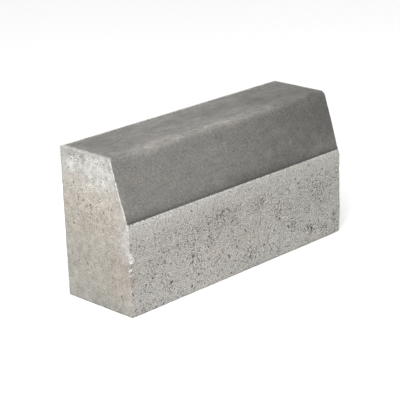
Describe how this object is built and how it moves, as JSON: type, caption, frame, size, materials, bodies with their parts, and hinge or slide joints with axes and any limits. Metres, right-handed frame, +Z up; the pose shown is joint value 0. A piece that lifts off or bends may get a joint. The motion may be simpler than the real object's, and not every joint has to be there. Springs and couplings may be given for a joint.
{
  "type": "concrete kerb stone",
  "caption": "Half-battered precast concrete road kerb in a short unit: smooth dark top and sloping road face over a porous upright base, flat underside and square ends.",
  "frame": {"origin": "middle of the underside, which rests on the bedding", "axes": "+X along the kerb, +Y towards the plain back, so the sloping road face looks to -Y, +Z up"},
  "size_m": [0.5, 0.15, 0.25],
  "materials": {
    "kerb_concrete": "precast concrete, smooth and dark on the top and the sloping face, light and sandy with small pores elsewhere"
  },
  "bodies": {
    "root": {"kerb_stone": "kerb_concrete"}
  },
  "joints": []
}
